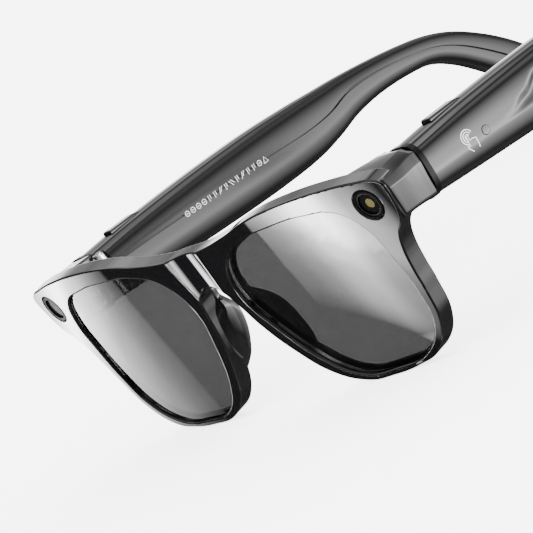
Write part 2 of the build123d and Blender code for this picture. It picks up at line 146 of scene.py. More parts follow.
def gloss_black(name, low=0.012, high=0.03):
    """Polished black plastic with a faint polishing haze."""
    material, tree, shader = new_material(name, POLISHED_BLACK, low)
    _, noise = vary(tree, shader, 90.0, low, high)
    tint(tree, shader, noise.outputs["Fac"], (0.0016, 0.0016, 0.0018), (0.0024, 0.0024, 0.0027))
    return material


def temple_black():
    """The same plastic, polished outside and satined inside, told apart by the normal of an open temple."""
    material, tree, shader = new_material("temple_black", POLISHED_BLACK, 0.02)
    place = tree.add("ShaderNodeTexCoord")
    geometry = tree.add("ShaderNodeNewGeometry")
    outward, spot = tree.add("ShaderNodeSeparateXYZ"), tree.add("ShaderNodeSeparateXYZ")
    tree.link(geometry.outputs["Normal"], outward.inputs["Vector"])
    tree.link(place.outputs["Object"], spot.inputs["Vector"])
    facing = math_node(tree, "MULTIPLY", outward.outputs["X"], math_node(tree, "SIGN", spot.outputs["X"]))
    for socket, outer, inner in (("Roughness", 0.02, 0.2), ("Specular IOR Level", 0.5, 0.3)):
        blend = tree.add("ShaderNodeMapRange", From_Min=-0.1, From_Max=-0.75, To_Min=outer, To_Max=inner)
        tree.link(facing, blend.inputs["Value"])
        tree.link(blend.outputs["Result"], shader.inputs[socket])
    return material


def satin_black(name, color, low, high, depth=0.00002, specular=0.5):
    material, tree, shader = new_material(name, color, low, Specular_IOR_Level=specular)
    place, noise = vary(tree, shader, 400.0, low, high)
    tint(tree, shader, noise.outputs["Fac"], [c * 0.8 for c in color], [c * 1.2 for c in color])
    grain(tree, shader, place, 5000.0, depth)
    return material


def metal(name, color, low, high):
    material, tree, shader = new_material(name, color, low, Metallic=1.0)
    place, noise = vary(tree, shader, 700.0, low, high)
    tint(tree, shader, noise.outputs["Fac"], [c * 0.9 for c in color], color)
    grain(tree, shader, place, 2500.0, 0.00001)
    return material


def lens_material():
    """Dark grey see-through sheet with a hard polish."""
    tinted = (0.018, 0.0177, 0.018)
    material, tree, shader = new_material("lens_tint", tinted, 0.0, IOR=1.5, Transmission_Weight=1.0)
    vary(tree, shader, 40.0, 0.0, 0.012)
    return material


# The camera's coating: share of the way out from the middle, and colour.
COATING = [(0.16, (0.02, 0.016, 0.09, 1)), (0.26, (0.004, 0.004, 0.006, 1)), (0.8, (0.007, 0.007, 0.007, 1))]
COATING_REACH = 2.9 * MM


def camera_glass():
    """Dark glass whose coating turns blue-violet towards its middle."""
    dark = (0.002, 0.002, 0.002)
    material, tree, shader = new_material("camera_glass", dark, 0.05, Specular_IOR_Level=0.005)
    place, _ = vary(tree, shader, 300.0, 0.03, 0.06)
    middle = (Vector(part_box("camera_window")[0]) + Vector(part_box("camera_window")[1])) / 2
    distance = tree.add("ShaderNodeVectorMath", operation="DISTANCE")
    distance.inputs[1].default_value = middle
    ramp = tree.add("ShaderNodeValToRGB")
    ring = ramp.color_ramp
    ring.elements[0].color = (0.006, 0.006, 0.03, 1)
    ring.elements[1].position, ring.elements[1].color = 0.9, (0.0015, 0.0015, 0.0015, 1)
    for position, color in COATING:
        ring.elements.new(position).color = color
    reach = tree.add("ShaderNodeMapRange", From_Min=0.0, From_Max=COATING_REACH)
    tree.link(place.outputs["Object"], distance.inputs[0])
    tree.link(distance.outputs["Value"], reach.inputs["Value"])
    tree.link(reach.outputs["Result"], ramp.inputs["Fac"])
    tree.link(ramp.outputs["Color"], shader.inputs["Base Color"])
    return material


def phosphor():
    material, tree, shader = new_material("phosphor", (0.05, 0.04, 0.008), 0.3, Specular_IOR_Level=0.1)
    _, noise = vary(tree, shader, 900.0, 0.2, 0.4)
    tint(tree, shader, noise.outputs["Fac"], (0.035, 0.028, 0.005), (0.06, 0.05, 0.012))
    return material


def all_materials():
    return {
        "frame_plastic": gloss_black("frame_plastic"),
        "trim_plastic": satin_black("trim_plastic", (0.0015, 0.0015, 0.0015), 0.2, 0.3, specular=0.01),
        "temple_plastic": temple_black(),
        "temple_inner": gloss_black("temple_inner", 0.06, 0.10),
        "gasket_rubber": satin_black("gasket_rubber", (0.0015, 0.0015, 0.0015), 0.2, 0.3, specular=0.1),
        "button_plastic": gloss_black("button_plastic", 0.05, 0.09),
        "lens_tint": lens_material(),
        "hinge_metal": metal("hinge_metal", (0.75, 0.76, 0.78), 0.12, 0.2),
        "screw_steel": metal("screw_steel", (0.5, 0.5, 0.52), 0.25, 0.35),
        "bright_ring": metal("bright_ring", (0.012, 0.012, 0.013), 0.2, 0.3),
        "phosphor": phosphor(),
        "circuit_board": satin_black("circuit_board", (0.01, 0.08, 0.03), 0.4, 0.5),
        "flex": satin_black("flex", (0.30, 0.13, 0.03), 0.35, 0.45),
        "camera_glass": camera_glass(),
        "module_plastic": satin_black("module_plastic", (0.012, 0.012, 0.012), 0.5, 0.6),
        "mesh_metal": satin_black("mesh_metal", (0.02, 0.02, 0.02), 0.4, 0.5, 0.0001),
        "battery_wrap": metal("battery_wrap", (0.35, 0.36, 0.38), 0.35, 0.5),
        "status_window": gloss_black("status_window"),
        "marking": satin_black("marking", (0.6, 0.6, 0.6), 0.4, 0.5, specular=0.2),
        "contact_metal": metal("contact_metal", (0.85, 0.62, 0.28), 0.15, 0.25),
    }


def finish_cad(materials):
    """Every CAD node gets its slot's material."""
    for name, obj in nodes.items():
        obj.data.materials.clear()
        obj.data.materials.append(materials[slot_of[name]])


# ---------------------------------------------------------------- shapes: helpers
def link(obj):
    bpy.context.collection.objects.link(obj)
    return obj


def mesh_object(name, verts, faces):
    mesh = bpy.data.meshes.new(name)
    mesh.from_pydata([tuple(v) for v in verts], [], faces)
    mesh.validate()
    return link(bpy.data.objects.new(name, mesh))


def catmull(points, t):
    """A smooth curve through equally weighted points of any dimension, t from 0 to 1."""
    last = len(points) - 1
    place = min(max(t, 0.0), 1.0) * last
    i = min(int(place), last - 1)
    u = place - i
    a, b, c, d = (points[min(max(k, 0), last)] for k in (i - 1, i, i + 1, i + 2))
    return [0.5 * (2 * q + (r - p) * u + (2 * p - 5 * q + 4 * r - s) * u * u
                   + (3 * q - p - 3 * r + s) * u ** 3)
            for p, q, r, s in zip(a, b, c, d)]


def smooth(obj, angle):
    """Smooth shading that keeps edges sharper than angle, in degrees."""
    mesh = obj.data
    for face in mesh.polygons:
        face.use_smooth = True
    mesh.set_sharp_from_angle(angle=math.radians(angle))


def cut(obj, cutter):
    """obj less cutter, worked out now; cutter is deleted."""
    modifier = obj.modifiers.new("cut", "BOOLEAN")
    modifier.operation, modifier.solver, modifier.object = "DIFFERENCE", "EXACT", cutter
    deps = bpy.context.evaluated_depsgraph_get()
    mesh = bpy.data.meshes.new_from_object(obj.evaluated_get(deps))
    obj.modifiers.clear()
    obj.data = mesh
    bpy.data.objects.remove(cutter)


def box_between(low, high, tilt=0.0, pivot=None):
    """A plain box between two corners in bridge millimetres, turned about X at pivot; only used to cut."""
    corners = [Vector((x, y, z)) for x in (low[0], high[0]) for y in (low[1], high[1])
               for z in (low[2], high[2])]
    turn = Matrix.Rotation(tilt, 3, "X")
    origin = Vector(pivot) if pivot else Vector((0, 0, 0))
    verts = [at(*(origin + turn @ corner)) for corner in corners]
    faces = [(0, 1, 3, 2), (4, 6, 7, 5), (0, 4, 5, 1), (2, 3, 7, 6), (0, 2, 6, 4), (1, 5, 7, 3)]
    return mesh_object("cutter", verts, faces)


# ---------------------------------------------------------------- shapes: the front
# In millimetres from the middle of the bridge, in the front's own upright plane: x, z.
BOW, WRAP = 4.85e-4, 6.97e-6
RIM_DEPTH, RIM_ROUND = 4.4, 0.42
# The lens seat: front and back depth, reach into the opening and under the rim, and edge rounding.
SEAT_FRONT, SEAT_BACK = 2.85, RIM_DEPTH - 0.1
SEAT_IN, SEAT_UNDER, SEAT_ROUND = 0.5, 1.1, 0.2
OUTLINE_STEPS = 10
FINE_STEP, WIDE_STEP = 0.4, 2.5
LENS_OUTLINE = [
    (63.4, -5.1), (62.5, 3.2), (58.2, 9.0), (49.0, 11.4), (36.0, 12.0), (22.5, 10.9), (13.4, 6.7),
    (10.1, -0.8), (13.6, -11.7), (20.0, -21.9), (28.0, -28.0), (40.0, -29.4), (52.5, -28.1), (60.3, -22.1),
    (63.0, -13.2),
]
HALF_OUTLINE = [
    (8, 12.5), (20, 13.8), (31, 15.6), (44, 16.2), (58, 15.5), (68.5, 14.05),
    (73.7, 12.75), (75.3, 11.3), (75.4, 9.2), (75.0, 7.0), (74.2, 4.1),
    (73.0, 1.9), (70.2, -0.5), (68.2, -3.8), (66.3, -9.8), (65.3, -14.5), (62.2, -23.2), (55.6, -28.9),
    (47.0, -30.6), (38.0, -30.9), (28.5, -30.1), (19.4, -25.6), (13.0, -17.9), (8.8, -10.0), (6.6, -3.0),
    (4.6, 1.2),
]
TROUGH = {"radius": 18.0, "depth": 1.25, "top": 12.5, "lean": math.tan(math.radians(2.6)), "soft": 0.05}


def front_y(x):
    return BOW * x * x + WRAP * abs(x) ** 3


def trough(x, z):
    """Depth of the hollow across the bridge, with its edges a little softened."""
    reach = TROUGH["radius"] ** 2 - x * x
    deep = TROUGH["depth"] - (TROUGH["top"] - z) * TROUGH["lean"] - TROUGH["radius"]
    deep += math.sqrt(max(reach, 0.0))
    if deep < -8 * TROUGH["soft"]:
        return 0.0
    return TROUGH["soft"] * math.log1p(math.exp(deep / TROUGH["soft"]))


def bent(x, depth, z):
    """From the flat plate to the bowed and leaning front."""
    share = 1 - min(max(depth / RIM_DEPTH, 0.0), 1.0)
    y = front_y(x) + depth + trough(x, z) * share
    c, s = math.cos(FRONT_TILT), math.sin(FRONT_TILT)
    return at(x, y * c - z * s, y * s + z * c)


def bent_normal(x, depth, z, normal):
    share = 1 - min(max(depth / RIM_DEPTH, 0.0), 1.0)
    step = 0.01
    slope_x = (front_y(x + step) - front_y(x - step)) / (2 * step)
    slope_x += share * (trough(x + step, z) - trough(x - step, z)) / (2 * step)
    slope_z = share * (trough(x, z + step) - trough(x, z - step)) / (2 * step)
    turned = Vector((normal.x - slope_x * normal.y, normal.y, normal.z - slope_z * normal.y)).normalized()
    return Matrix.Rotation(FRONT_TILT, 3, "X") @ turned


def closed_outline(curve, points):
    """A closed spline through points, with handles that keep it smooth."""
    spline = curve.splines.new("BEZIER")
    spline.bezier_points.add(len(points) - 1)
    for knot, (x, z) in zip(spline.bezier_points, points):
        knot.co = (x, z, 0)
        knot.handle_left_type = knot.handle_right_type = "AUTO"
    spline.use_cyclic_u = True
    spline.resolution_u = OUTLINE_STEPS


def flat_plate(name, outlines, near, far, rounding):
    """A plate with holes, between two depths, its edges rounded; x, depth, z in millimetres."""
    curve = bpy.data.curves.new(name, "CURVE")
    curve.dimensions, curve.fill_mode = "2D", "BOTH"
    for points in outlines:
        closed_outline(curve, points)
    curve.extrude = (far - near) / 2 - rounding
    curve.bevel_depth, curve.bevel_resolution = rounding, 4
    curve.offset = -rounding
    holder = bpy.data.objects.new(name, curve)
    mesh = bpy.data.meshes.new_from_object(holder)
    bpy.data.objects.remove(holder)
    middle = (near + far) / 2
    shape = bmesh.new()
    shape.from_mesh(mesh)
    for vert in shape.verts:
        vert.co = Vector((vert.co.x, middle - vert.co.z, vert.co.y))
    bmesh.ops.remove_doubles(shape, verts=shape.verts, dist=1e-4)
    return shape


def sliced(shape, places):
    """More edges across the plate, so that it can bend."""
    for x in places:
        geometry = shape.verts[:] + shape.edges[:] + shape.faces[:]
        bmesh.ops.bisect_plane(shape, geom=geometry, plane_co=(x, 0, 0), plane_no=(1, 0, 0), dist=1e-5)
    bmesh.ops.recalc_face_normals(shape, faces=shape.faces)


def bend(name, shape):
    """The flat plate as a bowed object, with the flat plate's exact normals bent along."""
    flat = bpy.data.meshes.new(name)
    shape.to_mesh(flat)
    shape.free()
    for face in flat.polygons:
        face.use_smooth = True
    holder = link(bpy.data.objects.new(name, flat))
    holder.modifiers.new("even", "WEIGHTED_NORMAL").weight = 100
    deps = bpy.context.evaluated_depsgraph_get()
    even = bpy.data.meshes.new_from_object(holder.evaluated_get(deps))
    holder.modifiers.clear()
    normals = []
    for loop, corner in zip(even.loops, even.corner_normals):
        x, depth, z = even.vertices[loop.vertex_index].co
        normals.append(bent_normal(x, depth, z, corner.vector))
    for vert in even.vertices:
        vert.co = bent(*vert.co)
    even.normals_split_custom_set(normals)
    holder.data = even
    return holder


def mirror_points(points):
    return [(-x, z) for x, z in reversed(points)]


def front_outline():
    return HALF_OUTLINE + [(0, 2.8)] + mirror_points(HALF_OUTLINE) + [(0, 12.5)]


def inset_outline(points, inset):
    """The points of an anticlockwise outline moved inwards, or outwards for an inset below 0."""
    moved = []
    for i, (x, z) in enumerate(points):
        (x0, z0), (x1, z1) = points[i - 1], points[(i + 1) % len(points)]
        along = Vector((x1 - x0, z1 - z0)).normalized()
        moved.append((x - along.y * inset, z + along.x * inset))
    return moved


def bend_places():
    """Where the plate is sliced: closely across the bridge and more widely beyond it."""
    fine = [FINE_STEP * i for i in range(-24, 25)]
    wide = [WIDE_STEP * i for i in range(4, 31)]
    return fine + wide + [-x for x in wide]


EYE_X, EYE_Z, EYE_RADIUS = 68.1, 8.1, 3.62
EYE_TURN, EYE_CUT = math.radians(9.3), 6.4
PLATE_HOLE_POINTS = 12
SIDES = {"left": 1, "right": -1}


def circle_points(x, z, radius):
    turns = [math.tau * i / PLATE_HOLE_POINTS for i in range(PLATE_HOLE_POINTS)]
    return [(x + radius * math.cos(turn), z + radius * math.sin(turn)) for turn in turns]


def make_front_plate():
    """Both rims, the bridge and the faces of the end-pieces, in one."""
    holes = [LENS_OUTLINE, mirror_points(LENS_OUTLINE)]
    holes += [circle_points(side * EYE_X, EYE_Z, EYE_RADIUS) for side in SIDES.values()]
    plate = flat_plate("front_plate", [front_outline()] + holes, 0, RIM_DEPTH, RIM_ROUND)
    sliced(plate, bend_places())
    return bend("front_plate", plate)


def make_lens_seat(name, side):
    """The lip that the lens rests on, inside the rim's opening."""
    outline = LENS_OUTLINE if side > 0 else mirror_points(LENS_OUTLINE)
    outlines = [inset_outline(outline, SEAT_IN), inset_outline(outline, -SEAT_UNDER)]
    ring = flat_plate(name, outlines, SEAT_FRONT, SEAT_BACK, SEAT_ROUND)
    sliced(ring, [side * x for x in bend_places() if x > 0])
    return bend(name, ring)


BROW_LINE = [(0, 9.6), (10, 10.4), (20, 12.2), (31, 13.7), (44, 14.1), (54, 13.4), (61, 12.0)]
BROW_HALF_HEIGHT, BROW_ROUND = 0.7, 0.1
BROW_FRONT, BROW_BACK = 4.0, RIM_DEPTH + 0.06


def make_brow_strip():
    """The cover of the cable's channel, along the top of the front's back."""
    upper = [(x, z + BROW_HALF_HEIGHT) for x, z in BROW_LINE]
    lower = [(x, z - BROW_HALF_HEIGHT) for x, z in BROW_LINE]
    outline = upper + lower[::-1] + [(-x, z) for x, z in lower[1:]] + [(-x, z) for x, z in upper[:0:-1]]
    strip = flat_plate("brow_strip", [outline], BROW_FRONT, BROW_BACK, BROW_ROUND)
    sliced(strip, bend_places())
    return bend("brow_strip", strip)


# ---------------------------------------------------------------- shapes: end-pieces
END_FRONT = [(59.5, 15.4), (71.5, 14.2), (75.4, 12.6), (75.86, 10.3), (74.95, 3.0), (65.0, 2.3)]
END_JOINT = [(62.4, 14.9), (71.0, 14.6), (74.3, 13.2), (74.75, 10.6), (74.1, 2.5), (62.4, 2.2)]
JOINT_Y = 15.9
END_ROUNDS = [0.6, 0.45, 0.45, 1.5, 1.2, 0.6]
END_START = 0.55
END_STRAIGHT = 0.3
# Edge bevels: share of the way from the front to the joint, and inset.
END_BEVEL_FRONT = [(0.0, 0.25), (0.008, 0.08), (0.02, 0.0)]
END_BEVEL_JOINT = [(0.98, 0.0), (0.993, 0.08), (1.0, 0.25)]
CORNER_STEPS = 7


def rounded_polygon(points, rounds):
    """A convex polygon with its corners rounded by quadratic curves."""
    made = []
    for i, point in enumerate(points):
        corner = Vector(point)
        before, after = Vector(points[i - 1]) - corner, Vector(points[(i + 1) % len(points)]) - corner
        half = before.angle(after) / 2
        back = min(rounds[i] / math.tan(half), 0.45 * min(before.length, after.length))
        start, end = corner + before.normalized() * back, corner + after.normalized() * back
        for k in range(CORNER_STEPS + 1):
            u = k / CORNER_STEPS
            made.append(start * (1 - u) ** 2 + corner * 2 * u * (1 - u) + end * u * u)
    return made


def ring_faces(rows, columns):
    """The faces of a tube of rings, with a cap at each end."""
    faces = []
    for i in range(rows - 1):
        for k in range(columns):
            n = (k + 1) % columns
            faces.append((i * columns + k, i * columns + n, (i + 1) * columns + n, (i + 1) * columns + k))
    faces.append(tuple(reversed(range(columns))))
    faces.append(tuple((rows - 1) * columns + k for k in range(columns)))
    return faces


def taper(t):
    """An end-piece keeps its section past the plate and then narrows to the joint."""
    share = max(0.0, (t - END_STRAIGHT) / (1 - END_STRAIGHT))
    return share * share * (3 - 2 * share)


def make_end_piece(name, side):
    """The block between the front and a temple, drawn out of the front's edge."""
    front = rounded_polygon(END_FRONT, END_ROUNDS)
    joint = rounded_polygon(END_JOINT, END_ROUNDS)
    centre_front = sum(front, Vector((0, 0))) / len(front)
    centre_joint = sum(joint, Vector((0, 0))) / len(joint)
    rings = END_BEVEL_FRONT + [(0.1 * k, 0.0) for k in range(1, 10)] + END_BEVEL_JOINT
    verts = []
    for t, inset in rings:
        centre = centre_front.lerp(centre_joint, taper(t))
        for a, b in zip(front, joint):
            x, z = a.lerp(b, taper(t))
            reach = Vector((x, z)) - centre
            x, z = centre + reach * (1 - inset / reach.length)
            y_front = front_y(x) - z * math.tan(FRONT_TILT) + END_START
            verts.append(at(side * x, y_front + (JOINT_Y - y_front) * t, z))
    block = mesh_object(name, verts, ring_faces(len(rings), len(front)))
    if side < 0:
        block.data.flip_normals()
    bpy.ops.mesh.primitive_cylinder_add(vertices=96, radius=EYE_RADIUS * MM, depth=EYE_CUT * MM)
    cutter = bpy.context.object
    lean = Matrix.Rotation(FRONT_TILT, 4, "X")
    middle = Matrix.Translation((side * EYE_X, front_y(EYE_X), EYE_Z))
    eye = middle @ Matrix.Rotation(side * EYE_TURN, 4, "Z")
    place = lean @ eye @ Matrix.Rotation(math.radians(-90), 4, "X")
    place.translation = at(*place.translation)
    cutter.matrix_world = place
    bpy.context.view_layer.update()
    cut(block, cutter)
    smooth(block, 30)
    return block


# ---------------------------------------------------------------- shapes: nose pads
# Upright stations: z, centre x and depth, half width and half depth.
PAD_STATIONS = [
    (-20.6, 15.6, 4.4, 0.35, 0.3), (-19.6, 15.0, 4.5, 1.3, 1.1), (-17.5, 13.7, 4.8, 2.2, 2.3),
    (-13.0, 11.4, 5.0, 3.0, 3.6), (-8.5, 9.6, 5.1, 3.0, 4.0), (-5.2, 8.4, 5.0, 2.6, 3.2),
    (-3.0, 7.6, 4.9, 1.8, 2.0), (-1.6, 7.1, 4.8, 1.15, 1.5), (0.6, 6.9, 4.8, 1.5, 1.7),
    (2.1, 7.0, 4.8, 1.1, 1.2), (2.7, 7.0, 4.8, 0.35, 0.3),
]
PAD_ROWS, PAD_COLUMNS = 60, 48
PAD_FRONT = 1.3     # a pad comes no nearer to the face of the rim than this depth


def make_nose_pad(name, side):
    """A soft bulb that grows out of the back of the rim, with a small knob above it."""
    verts = []
    for i in range(PAD_ROWS):
        z, x, depth, wide, deep = catmull(PAD_STATIONS, i / (PAD_ROWS - 1))
        for k in range(PAD_COLUMNS):
            turn = math.tau * k / PAD_COLUMNS
            px, pd = x + wide * math.cos(turn), depth + deep * math.sin(turn)
            verts.append(bent(side * px, max(pd, PAD_FRONT), z))
    pad = mesh_object(name, verts, ring_faces(PAD_ROWS, PAD_COLUMNS))
    if side > 0:
        pad.data.flip_normals()
    smooth(pad, 60)
    return pad


# ---------------------------------------------------------------- shapes: temples
# Centre y and z, direction below horizontal in degrees, height, inner x, outer x, and the seam as a share
# of half the height.
TEMPLE_STATIONS = [
    (17.65, 8.3, 0, 12.6, 62.6, 74.4, 0.24), (32.0, 8.2, 0, 14.4, 62.6, 74.6, 0.18),
    (52.0, 7.8, 0, 16.0, 62.6, 74.6, 0.12), (72.0, 7.35, 0, 16.5, 62.7, 74.0, 0.09),
    (86.0, 7.1, 0, 15.5, 62.8, 72.6, 0.02), (95.0, 7.4, 0, 13.4, 62.9, 71.2, 0.03),
    (103.0, 8.0, 1, 10.8, 63.0, 70.0, 0.20), (112.0, 7.8, 6, 8.9, 63.1, 69.1, 0.18),
    (122.0, 6.7, 12, 7.8, 63.2, 68.8, 0.08), (130.5, 4.9, 22, 7.4, 63.1, 68.7, 0.0),
    (138.0, 1.1, 34, 8.3, 63.0, 68.6, 0.0), (146.0, -5.4, 43, 9.6, 62.9, 68.5, 0.0),
    (152.5, -12.2, 50, 10.0, 62.8, 68.4, 0.0), (158.4, -20.6, 57, 9.4, 62.8, 68.2, 0.0),
    (161.3, -25.8, 60, 8.0, 63.1, 67.9, 0.0), (163.0, -29.0, 61, 5.0, 63.9, 67.1, 0.0),
]
POWER = 3.2
TEMPLE_ROWS, TEMPLE_COLUMNS = 300, 120
# The seam's groove: half width and depth, where its lips end as multiples of the half width, and how far
# along the temple it runs.
GROOVE_HALF, GROOVE_DEPTH = 0.2, 0.7
LIP_NEAR, LIP_FAR = 1.3, 2.2
GROOVE_END = 0.86
TEMPLE_BEVEL = [(0.0, 0.35), (0.0002, 0.1), (0.0008, 0.0)]
TIP_STEPS, TIP_SHARE, TIP_SINK = 5, 0.012, 0.12
OUTER_FACE = 0.2    # the flute is only where the cosine of the angle round the section is above this
FLUTE_WALL = 2.4
# Flute: y, lower edge z, upper edge z, depth.
FLUTE = [(38.5, 6.1, 6.3, 0.0), (43.0, 5.9, 7.4, 0.35), (48.0, 5.8, 9.2, 0.8), (54.0, 5.5, 11.9, 1.0),
         (66.0, 4.9, 12.4, 1.0), (78.0, 5.2, 11.6, 0.7), (88.0, 6.2, 10.0, 0.3), (96.0, 7.4, 8.4, 0.0)]


def flute_depth(y, z):
    """How far the outer face is hollowed: a steep upper wall and a floor that rises to the lower crease."""
    if not FLUTE[0][0] < y < FLUTE[-1][0]:
        return 0.0
    for near, far in zip(FLUTE, FLUTE[1:]):
        if near[0] <= y <= far[0]:
            share = (y - near[0]) / (far[0] - near[0])
            share = share * share * (3 - 2 * share)
            low, high, depth = (a + share * (b - a) for a, b in zip(near[1:], far[1:]))
            break
    wall = min(max((high - z) / FLUTE_WALL, 0.0), 1.0)
    wall = wall * wall * (3 - 2 * wall)
    rise = min(max((z - low) / max(high - low, 0.1), 0.0), 1.0)
    return depth * wall * rise


def section_point(station, turn, sink):
    y, z, fall, height, inner, outer, _ = station
    across, up = math.cos(turn), math.sin(turn)
    reach = (abs(across) ** POWER + abs(up) ** POWER) ** (-1 / POWER)
    half_x, half_z = (outer - inner) / 2 - sink, height / 2 - sink
    lean = math.radians(fall)
    x, v = (inner + outer) / 2 + half_x * across * reach, half_z * up * reach
    return x, y + v * math.sin(lean), z + v * math.cos(lean)


def seam_turn(station):
    """The angle of the seam on the inner side."""
    share = station[6]
    return math.atan2(share, -(1 - abs(share) ** POWER) ** (1 / POWER))


def temple_turns(station):
    """Angles round a section, starting with the narrow groove at the seam; each with its sink."""
    lip = GROOVE_HALF / (station[3] / 2)
    turns = [(-LIP_FAR * lip, 0.0), (-LIP_NEAR * lip, 0.0), (-lip, GROOVE_DEPTH), (lip, GROOVE_DEPTH),
             (LIP_NEAR * lip, 0.0)]
    start, end = LIP_FAR * lip, math.tau - LIP_FAR * lip
    steps = TEMPLE_COLUMNS - len(turns)
    turns += [(start + (end - start) * k / steps, 0.0) for k in range(steps)]
    return [(seam_turn(station) + turn, sink) for turn, sink in turns]


def make_temple(name, side):
    """Shell and inner cover as one skin with the seam between them, and the flute outside."""
    verts = []
    middle = [(k / TEMPLE_ROWS, 0.0) for k in range(1, TEMPLE_ROWS - 2)]
    tip = [(1 - TIP_SHARE * (1 - k / TIP_STEPS), TIP_SINK * k * k) for k in range(TIP_STEPS + 1)]
    rings = TEMPLE_BEVEL + middle + tip
    for t, sink in rings:
        station = catmull(TEMPLE_STATIONS, t)
        fade = 1.0 if t < GROOVE_END else 0.0
        for turn, groove in temple_turns(station):
            x, y, z = section_point(station, turn, sink + groove * fade)
            if math.cos(turn) > OUTER_FACE:
                x -= flute_depth(y, z)
            verts.append(at(side * x, y, z))
    temple = mesh_object(name, verts, ring_faces(len(rings), TEMPLE_COLUMNS))
    if side > 0:
        temple.data.flip_normals()
    return temple


# Corners of the left temple's openings: the knuckles' notch from the hinge pin, and the key's slot.
HINGE_PIN = (61.7, 17.9, 8.3)
NOTCH = (-3.0, -4.0, -6.2), (2.5, 3.2, 6.2)
KEY_SLOT = (66.6, 26.4, 12.0), (70.4, 36.2, 18.0)


def on_side(corners, side):
    """A box's low and high corner, mirrored for the right side."""
    low, high = corners
    if side > 0:
        return low, high
    return (-high[0], *low[1:]), (-low[0], *high[1:])


def open_temple(temple, side):
    """Room for the knuckles, in the inner corner of the temple's end, and for the press key."""
    pivot = (side * HINGE_PIN[0], *HINGE_PIN[1:])
    cut(temple, box_between(*on_side(NOTCH, side), FRONT_TILT, pivot))
    cut(temple, box_between(*on_side(KEY_SLOT, side)))
    smooth(temple, 32)


def skin_point(side, y, z, inner=False):
    """The point of a temple's outer or inner face at a given depth and height."""
    low, high = 0.0, 1.0
    for _ in range(24):
        t = (low + high) / 2
        station = catmull(TEMPLE_STATIONS, t)
        low, high = (t, high) if station[0] < y else (low, t)
    _, middle_z, _, height, near, far, _ = station
    across = (1 - abs((z - middle_z) / (height / 2)) ** POWER) ** (1 / POWER)
    x = (near + far) / 2 + (far - near) / 2 * across * (-1 if inner else 1)
    return at(side * x, y, z)


def arc(y, z, radius, start, end, steps=14):
    turns = [math.radians(start + (end - start) * k / steps) for k in range(steps + 1)]
    return [(y + radius * math.cos(turn), z + radius * math.sin(turn)) for turn in turns]


def printed(name, lines, side, inner, width):
    """Fine raised print that follows a temple's face: lines of (y, z)."""
    curve = bpy.data.curves.new(name, "CURVE")
    curve.dimensions = "3D"
    curve.bevel_depth = width / 2 * MM
    curve.bevel_resolution = 2
    curve.use_fill_caps = True
    for line in lines:
        spline = curve.splines.new("POLY")
        spline.points.add(len(line) - 1)
        for point, (y, z) in zip(spline.points, line):
            point.co = (*skin_point(side, y, z, inner), 1)
    shape = link(bpy.data.objects.new(name, curve))
    bpy.context.view_layer.update()
    mesh = bpy.data.meshes.new_from_object(shape.evaluated_get(bpy.context.evaluated_depsgraph_get()))
    bpy.data.objects.remove(shape)
    return link(bpy.data.objects.new(name, mesh))


# Print on the temples: the y and z of each sign's middle, its sizes and the width of its lines.
SIGN_PLACE, SIGN_RIPPLES, SIGN_WIDTH = (29.3, 8.5), (0.55, 1.1, 1.65), 0.2
DISC_PLACE, DISC_RIM_RADIUS, DISC_RIM_WIDTH = (34.4, 7.3), 1.05, 0.2
MARK_HEIGHT, MARK_WIDTH = 1.5, 0.17
MARKS_START, MARKS_END = (44.6, 8.75), (71.2, 8.05)
MARK_RING, MARK_DASH, MARK_SHORT = 0.85, 0.5, 0.4    # as shares of half the height
BAR_LEAN, BAR_APART = 0.4, 0.3


def make_touch_sign():
    """A fingertip under three ripples, beside the touch area."""
    y, z = SIGN_PLACE
    ripples = [arc(y, z, radius, 20, 250) for radius in SIGN_RIPPLES]
    finger = [(y - 0.3, z + 0.1), (y + 0.25, z + 0.25), (y + 0.1, z - 1.0), (y + 0.75, z - 0.8),
              (y + 1.3, z - 0.9), (y + 1.9, z - 1.1), (y + 1.85, z - 2.6), (y + 1.7, z - 3.3)]
    thumb = [(y - 0.3, z + 0.1), (y - 0.45, z - 2.0), (y - 1.0, z - 1.7), (y - 1.1, z - 2.2),
             (y - 0.2, z - 3.4)]
    return printed("touch_sign", ripples + [finger, thumb], 1, False, SIGN_WIDTH)


def make_disc_rim():
    """The fine gap round the status window."""
    rim = arc(*DISC_PLACE, DISC_RIM_RADIUS, 0, 360, 36)
    return printed("disc_rim", [rim], 1, False, DISC_RIM_WIDTH)


def make_inner_marks():
    """A row of plain marks along the seam: rings, bars and a triangle, with no meaning."""
    pattern = "oooo||/|\\|/||o^"
    lines = []
    for i, kind in enumerate(pattern):
        share = i / (len(pattern) - 1)
        y, z = (a + share * (b - a) for a, b in zip(MARKS_START, MARKS_END))
        half = MARK_HEIGHT / 2
        if kind == "o":
            dash = [(y - half * MARK_DASH, z), (y + half * MARK_DASH, z)]
            lines += [arc(y, z, half * MARK_RING, 0, 360), dash]
        elif kind == "^":
            lines.append([(y - half, z - half), (y, z + half), (y + half, z - half), (y - half, z - half)])
        else:
            lean = {"|": 0.0, "/": BAR_LEAN, "\\": -BAR_LEAN}[kind]
            near, far = y - BAR_APART, y + BAR_APART
            lines.append([(near - lean, z - half), (near + lean, z + half)])
            lines.append([(far - lean, z - half * MARK_SHORT), (far + lean, z + half)])
    return printed("inner_marks", lines, -1, True, MARK_WIDTH)


def dress(piece, body, slot, materials, *stands_for, finish=None):
    """A finished piece: its material, the body that it rides on and the CAD nodes that it stands for."""
    piece.data.materials.clear()
    piece.data.materials.append(materials[finish or slot])
    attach(piece, body)
    if stands_for:
        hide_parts(*stands_for)


